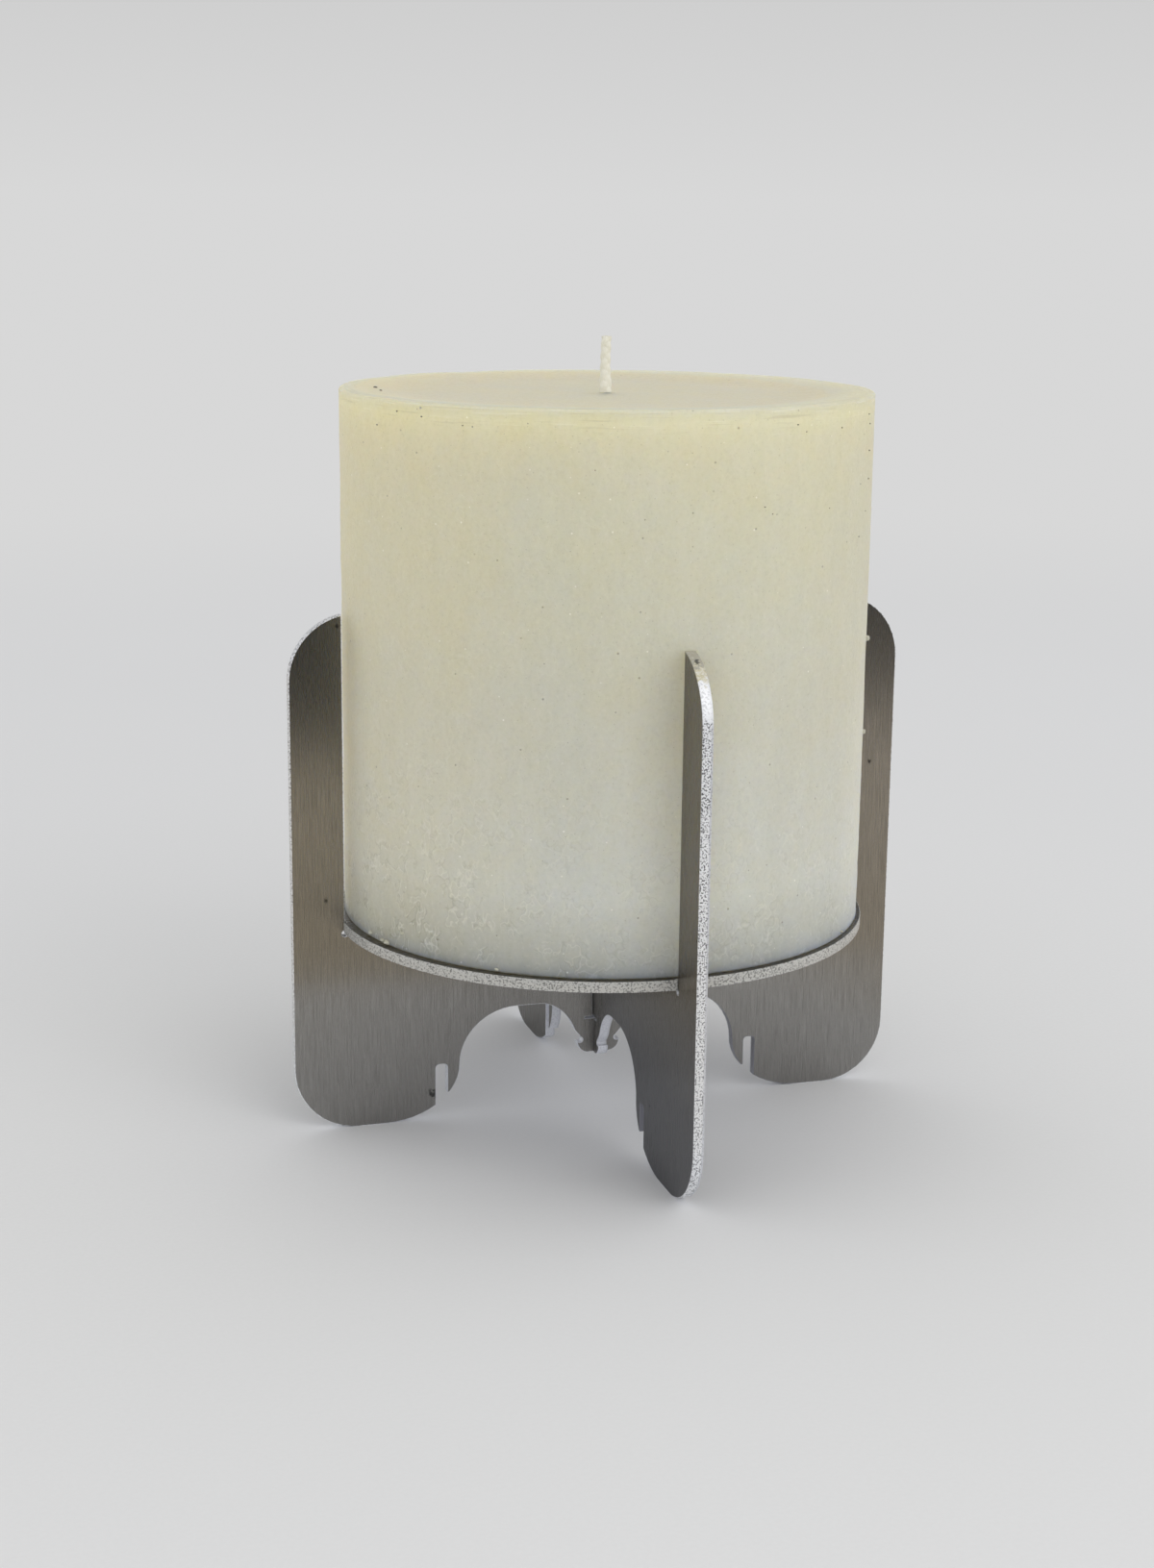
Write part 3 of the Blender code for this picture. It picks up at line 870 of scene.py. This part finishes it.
def add_wick(settings, material):
    """Three strands that swing as sin t and sin 2t, a third of a turn apart, about a bowed line."""
    low, high = WICK_LOW[Z], WICK_HIGH[Z]
    lean = WICK_HIGH[X] + WICK_LOW[X] - 2 * CANDLE_AXIS[X] + settings.lean
    base = CANDLE_HIGH[Z] - settings.root
    inside = np.linspace(low, base, 12)[:-1]
    outside = np.linspace(base, high - settings.tip, 90)
    height = np.concatenate([inside, outside, [high]])
    above = np.clip((height - base) / (high - base), 0, 1)
    centre = CANDLE_AXIS[X] + lean * above**2 - settings.bow * np.sin(np.pi * above)
    from_top = (height - CANDLE_HIGH[Z]) / settings.spread_run
    thick = settings.strand * (1 + settings.spread * np.exp(-(from_top**2)))
    thick[[0, -1]] = 0.0
    phase = 2 * np.pi * (height / settings.pitch + np.arange(STRANDS)[:, None] / STRANDS)
    straight = turned(thick[:, None], height[:, None], STRAND_COLUMNS)
    points = np.repeat(straight[None], STRANDS, axis=0)
    points[..., X] += (centre + settings.sway * np.sin(phase))[:, :, None]
    points[..., Y] += (CANDLE_AXIS[Y] + settings.depth * np.sin(2 * phase))[:, :, None]
    faces = quads(len(height), STRAND_COLUMNS, STRANDS).tolist()
    add_piece("braided_wick", points, faces, "candle", [material], ["wick"])


def place_holder(holder, right, up, back, position):
    """Put a camera or a lamp in the scene, with its axes along three directions."""
    matrix = np.eye(4)
    matrix[:3] = np.stack([right, up, back, position], axis=1)
    holder.matrix_world = Matrix(matrix.tolist())
    bpy.context.scene.collection.objects.link(holder)


def camera_axes(settings):
    """The camera's right, up and back directions and its position.

    The camera looks at the aim from its azimuth and elevation, is rolled, and
    is then panned and tilted so that the aim falls on its pixel.
    """
    azimuth, elevation = math.radians(settings.azimuth), math.radians(settings.elevation)
    out = math.cos(elevation)
    back = np.array([math.sin(azimuth) * out, -math.cos(azimuth) * out, math.sin(elevation)])
    position = np.array([0.0, 0.0, settings.aim_height]) + back * settings.distance
    right = np.cross(-back, [0.0, 0.0, 1.0])
    right /= np.linalg.norm(right)
    up = np.cross(right, -back)
    roll = math.radians(settings.roll)
    right, up = (
        right * math.cos(roll) + up * math.sin(roll),
        up * math.cos(roll) - right * math.sin(roll),
    )
    pan = (settings.aim_column - PHOTO_WIDTH / 2) / settings.focal
    tilt = (settings.aim_row - PHOTO_HEIGHT / 2) / settings.focal
    ahead = -back - pan * right + tilt * up
    ahead /= np.linalg.norm(ahead)
    right -= (right @ ahead) * ahead
    right /= np.linalg.norm(right)
    return right, np.cross(right, ahead), -ahead, position


def add_camera(settings):
    """The camera at the viewing angle of the reference view."""
    camera = bpy.data.cameras.new("camera")
    camera.sensor_width = SENSOR
    camera.lens = settings.focal * SENSOR / PHOTO_HEIGHT
    camera.clip_start = 0.01
    holder = bpy.data.objects.new("camera", camera)
    place_holder(holder, *camera_axes(settings))
    bpy.context.scene.camera = holder


def add_key(settings):
    """A square lamp to the right of the camera and above it, which points at the candle's foot."""
    lamp = bpy.data.lights.new("key", "AREA")
    lamp.shape = "SQUARE"
    lamp.size = KEY_WIDTH
    lamp.energy = settings.key_power
    lamp.color = settings.key_tint
    holder = bpy.data.objects.new("key", lamp)
    back = np.subtract(KEY_PLACE, KEY_AIM)
    back /= np.linalg.norm(back)
    right = np.cross([0.0, 0.0, 1.0], back)
    right /= np.linalg.norm(right)
    place_holder(holder, right, np.cross(back, right), back, KEY_PLACE)
    holder.visible_camera = False


def set_world(settings):
    """Soft light from all round, cooler and stronger from the horizon than from above.

    The camera, reflections and clear pieces see the plain backdrop tone there.
    """
    world = bpy.data.worlds.new("studio")
    world.use_nodes = True
    tree = world.node_tree
    height = split(tree.nodes.new("ShaderNodeTexCoord").outputs["Generated"])[Z]
    sky = mix(ramp(height, 0.0, 1.0), settings.sky_low, settings.sky_high)
    shade = mix(ramp(height, 0.0, 0.1), settings.backdrop, settings.backdrop_high)
    set_sockets(tree.nodes["Background"], Color=mix(seen_share(tree), sky, shade))
    bpy.context.scene.world = world


def add_floor(settings):
    """A wide round floor, as a straight section turned about the axis."""
    radius = np.concatenate([[0.0], np.geomspace(0.01, FLOOR_REACH, 30)])[:, None]
    points = turned(radius, np.zeros_like(radius), FLOOR_COLUMNS)
    faces = quads(len(radius), FLOOR_COLUMNS).tolist()
    add_object("paper_floor", points, faces, [paper_floor(settings)])


def add_reflected_table(settings):
    """A table round the paper with a dark room beyond its front edge, which only reflections see.

    A flat frame from the paper's edge outwards, whose front edge runs on a
    slant, and an upright dark wall along that edge.
    """
    material, shader, position = new_material("reflected table")
    x, _, z = split(position)
    to_right = ramp(x, 0.0, 0.18)
    room = mix(to_right, settings.room, settings.room_right)
    wood = mix(to_right, settings.table, settings.table_right)
    face = mix(ramp(z, 0.0012, 0.0020), wood, room)
    set_sockets(shader, Base_Color=face, Roughness=1.0, Specular_IOR_Level=0.0)
    paper, far = settings.paper_reach, settings.table_reach
    column = np.array([-1.0, 1.0, 1.0, -1.0])
    row = np.array([-1.0, -1.0, 1.0, 1.0])
    front = -settings.table_front - settings.table_slant * far * column
    points = np.full((10, 3), TABLE_LIFT)
    points[:4, X], points[:4, Y] = paper * column, paper * row
    points[4:8, X], points[4:8, Y] = far * column, np.where(row < 0, front, far)
    points[8:] = points[4:6] - [0.0, WALL_LEAN, 0.0]
    points[8:, Z] = settings.room_height
    before = np.arange(4)
    after = (before + 1) % 4
    faces = np.stack([before, before + 4, after + 4, after], axis=1).tolist() + [[4, 8, 9, 5]]
    table = add_object("reflected_table", points, faces, [material])
    for ray in ("camera", "diffuse", "shadow", "transmission"):
        setattr(table, f"visible_{ray}", False)


class CANDLESTICK_OT_plates(bpy.types.Operator):
    """Dress the two crossing plates"""

    bl_idname = "candlestick.plates"
    bl_label = "Crossing plates"

    def execute(self, context):
        """Build both plates from the outlines of their solids."""
        settings = context.scene.candlestick_sheet
        along = (1, 1, settings.line_run / settings.line_width)
        tones = (settings.edge_dark, settings.edge_grain_and_highlight)
        lower = [
            brushed_face("lower brushed sheet", settings, along, stains=LOWER_STAINS),
            cut_edge("lower cut edge", settings, *tones, Y),
        ]
        upper = [
            brushed_face("upper brushed sheet", settings, along, paint_foot_shade=True),
            cut_edge("upper cut edge", settings, *tones, X, front_tip=True),
        ]
        rim = settings.edge_round
        add_sheet("plate_lower", "lower_plate", Y, "lower_plate", lower, rim)
        add_sheet("plate_upper", "upper_plate", X, "upper_plate", upper, rim)
        return {"FINISHED"}


class CANDLESTICK_OT_disc(bpy.types.Operator):
    """Dress the disc that carries the candle"""

    bl_idname = "candlestick.disc"
    bl_label = "Candle disc"

    def execute(self, context):
        """Build the disc from the outline of its solid."""
        settings = context.scene.candlestick_sheet
        along = (settings.line_run / settings.line_width, 1, 1)
        face = brushed_face("brushed disc", settings, along)
        edge = cut_edge("cut disc edge", settings, settings.rim_dark, settings.rim_light)
        add_sheet("disc", "candle_disc", Z, "disc", [face, edge], settings.edge_round)
        return {"FINISHED"}


class CANDLESTICK_OT_candle(bpy.types.Operator):
    """Dress the candle, with its crumbs of wax and specks of soot"""

    bl_idname = "candlestick.candle"
    bl_label = "Pillar candle"

    def execute(self, context):
        """Build the candle, then the crumbs and the specks."""
        settings = context.scene.candlestick_candle
        add_candle(settings, ivory_wax(settings))
        crumbs = crumb_wax("wax crumbs", settings.crumb, settings.wax_middle)
        add_crumbs("wax_crumbs", WAX_CRUMBS, 0.1, crumbs)
        soot = crumb_wax("soot specks", settings.soot, settings.speck)
        add_crumbs("soot_specks", SOOT_SPECKS, 0.6, soot)
        return {"FINISHED"}


class CANDLESTICK_OT_wick(bpy.types.Operator):
    """Braid the wick"""

    bl_idname = "candlestick.wick"
    bl_label = "Braided wick"

    def execute(self, context):
        """Build the three strands."""
        settings = context.scene.candlestick_wick
        add_wick(settings, wick_cotton(settings))
        return {"FINISHED"}


class CANDLESTICK_OT_stage(bpy.types.Operator):
    """Set the floor, lamp, backdrop and camera"""

    bl_idname = "candlestick.stage"
    bl_label = "Stage"

    def execute(self, context):
        """Lay the paper and the table, hang the lamp and set the camera."""
        settings = context.scene.candlestick_stage
        add_floor(settings)
        add_reflected_table(settings)
        add_key(settings)
        set_world(settings)
        add_camera(settings)
        context.scene.view_settings.view_transform = "Standard"
        return {"FINISHED"}


class CANDLESTICK_PT_pieces(bpy.types.Panel):
    """Lists the pieces in the sidebar"""

    bl_label = "Candlestick"
    bl_idname = "CANDLESTICK_PT_pieces"
    bl_space_type = "VIEW_3D"
    bl_region_type = "UI"
    bl_category = "Candlestick"

    def draw(self, context):
        """One button for each piece and one for the stage."""
        for operator in OPERATORS:
            self.layout.operator(operator.bl_idname)


GROUPS = {
    "candlestick_sheet": SheetSettings,
    "candlestick_candle": CandleSettings,
    "candlestick_wick": WickSettings,
    "candlestick_stage": StageSettings,
}
OPERATORS = (
    CANDLESTICK_OT_plates,
    CANDLESTICK_OT_disc,
    CANDLESTICK_OT_candle,
    CANDLESTICK_OT_wick,
    CANDLESTICK_OT_stage,
)


def register():
    """Register the settings, operators and panel."""
    for name, group in GROUPS.items():
        bpy.utils.register_class(group)
        setattr(bpy.types.Scene, name, bpy.props.PointerProperty(type=group))
    for item in (*OPERATORS, CANDLESTICK_PT_pieces):
        bpy.utils.register_class(item)


def unregister():
    """Take away what register added."""
    for item in (CANDLESTICK_PT_pieces, *reversed(OPERATORS)):
        bpy.utils.unregister_class(item)
    for name, group in GROUPS.items():
        delattr(bpy.types.Scene, name)
        bpy.utils.unregister_class(group)


def main():
    """Build every piece in order."""
    register()
    bpy.ops.candlestick.plates()
    bpy.ops.candlestick.disc()
    bpy.ops.candlestick.candle()
    bpy.ops.candlestick.wick()
    bpy.ops.candlestick.stage()


if __name__ == "__main__":
    main()
